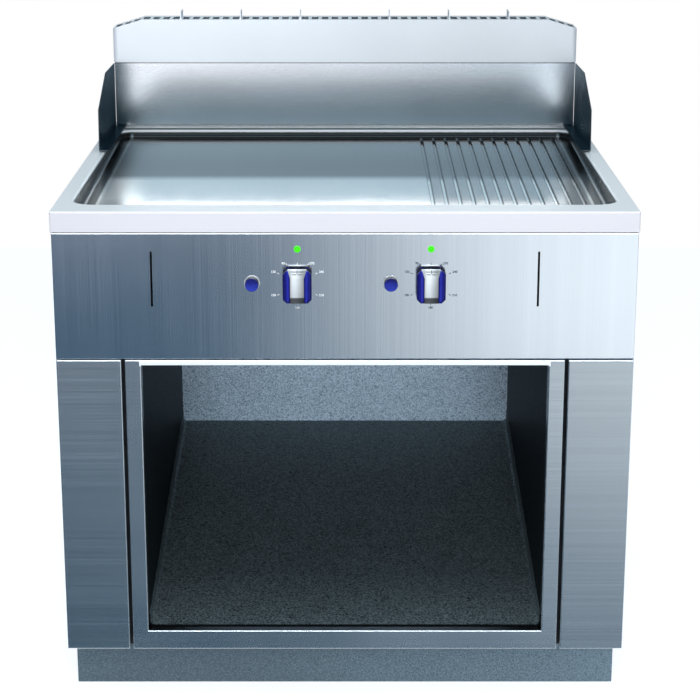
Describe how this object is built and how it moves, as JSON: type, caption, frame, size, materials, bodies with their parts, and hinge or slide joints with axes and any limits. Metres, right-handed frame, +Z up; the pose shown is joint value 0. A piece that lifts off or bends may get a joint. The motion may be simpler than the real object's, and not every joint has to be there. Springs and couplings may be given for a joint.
{
  "type": "flat top griddle",
  "caption": "Free-standing gas griddle: part smooth, part ribbed chromed plate in a steel worktop, splash guards, rear flue, control panel and open base.",
  "frame": {"origin": "centre of the bounding box, on the floor", "axes": "+Z up, -Y towards the cook at the control panel, +X to the cook's right"},
  "size_m": [1, 0.96, 1.14],
  "materials": {
    "stainless_brushed": "brushed",
    "stainless_satin": "satin",
    "chrome_plate": "mirror",
    "galvanised": "spangled",
    "zinc_steel": "plated",
    "aluminised_steel": "dull",
    "ceramic_board": "matt",
    "burner_steel": "dull",
    "brass": "machined",
    "aluminium_tube": "drawn",
    "gas_pipe": "zinc and yellow passivate",
    "blue_plastic": "gloss",
    "knob_metal": "satin",
    "black_plastic": "matt",
    "green_lens": "gloss",
    "white_ceramic": "glazed",
    "silicone_lead": "matt",
    "copper_probe": "drawn"
  },
  "bodies": {
    "appliance": {"worktop": "stainless_satin", "griddle_plate": "chrome_plate", "control_panel": "stainless_brushed", "side_panel_left": "stainless_brushed", "side_panel_right": "stainless_brushed", "rear_panel": "galvanised", "base_cover_left": "stainless_brushed", "base_cover_right": "stainless_brushed", "opening_frame": "stainless_brushed", "cavity_side_walls": "stainless_brushed", "cavity_back_wall": "stainless_brushed", "cavity_floor_pan": "stainless_brushed", "cavity_ceiling": "stainless_brushed", "base_chassis": "galvanised", "front_posts": "galvanised", "plinth_front": "stainless_brushed", "plinth_surround": "stainless_brushed", "levelling_feet": "zinc_steel", "foot_nuts": "zinc_steel", "rear_panel_screws": "zinc_steel", "cross_rails": "galvanised", "firebox": "aluminised_steel", "insulation_boards": "ceramic_board", "burner_left": "burner_steel", "burner_right": "burner_steel", "injectors": "brass", "feed_pipes": "aluminium_tube", "gas_manifold": "gas_pipe", "gas_inlet_pipe": "gas_pipe", "valve_bodies": "brass", "button_bezels": "knob_metal", "igniter_bodies": "black_plastic", "indicator_lenses": "green_lens", "lamp_holders": "black_plastic", "spark_electrodes": "white_ceramic", "ignition_leads": "silicone_lead", "thermocouples": "copper_probe", "wiring": "silicone_lead", "terminal_box": "black_plastic", "splash_panel": "stainless_brushed", "flue_hood": "stainless_brushed", "flue_grille": "stainless_brushed", "flue_dividers": "stainless_brushed", "flue_rear_panel": "stainless_brushed", "flue_duct": "aluminised_steel", "guard_left": "stainless_brushed", "guard_right": "stainless_brushed", "drain_spout": "stainless_brushed", "collector_runners": "galvanised"},
    "collector": {"grease_collector": "stainless_brushed"},
    "left_plug": {"valve_plug_left": "brass"},
    "left_knob": {"valve_spindle_left": "zinc_steel", "knob_body_left": "blue_plastic", "knob_bar_left": "knob_metal"},
    "right_plug": {"valve_plug_right": "brass"},
    "right_knob": {"valve_spindle_right": "zinc_steel", "knob_body_right": "blue_plastic", "knob_bar_right": "knob_metal"},
    "left_button": {"igniter_button_left": "blue_plastic"},
    "right_button": {"igniter_button_right": "blue_plastic"}
  },
  "joints": [
    {"name": "left_knob_turn", "type": "hinge", "parent": "appliance", "child": "left_plug", "pos_m": [-0.081, -0.41, 0.7742], "axis": [0, -1, 0], "range_deg": [0, 300]},
    {"name": "left_knob_push", "type": "slide", "parent": "left_plug", "child": "left_knob", "axis": [0, 1, 0], "range_m": [0, 0.004], "stiffness_N_per_m": 1500, "springref_m": -0.002},
    {"name": "right_knob_turn", "type": "hinge", "parent": "appliance", "child": "right_plug", "pos_m": [0.1465, -0.41, 0.7742], "axis": [0, -1, 0], "range_deg": [0, 300]},
    {"name": "right_knob_push", "type": "slide", "parent": "right_plug", "child": "right_knob", "axis": [0, 1, 0], "range_m": [0, 0.004], "stiffness_N_per_m": 1500, "springref_m": -0.002},
    {"name": "left_igniter_push", "type": "slide", "parent": "appliance", "child": "left_button", "axis": [0, 1, 0], "range_m": [0, 0.005], "stiffness_N_per_m": 1000, "springref_m": -0.002},
    {"name": "right_igniter_push", "type": "slide", "parent": "appliance", "child": "right_button", "axis": [0, 1, 0], "range_m": [0, 0.005], "stiffness_N_per_m": 1000, "springref_m": -0.002},
    {"name": "grease_collector_slide", "type": "slide", "parent": "appliance", "child": "collector", "axis": [0, -1, 0], "range_m": [0, 0.24]}
  ]
}
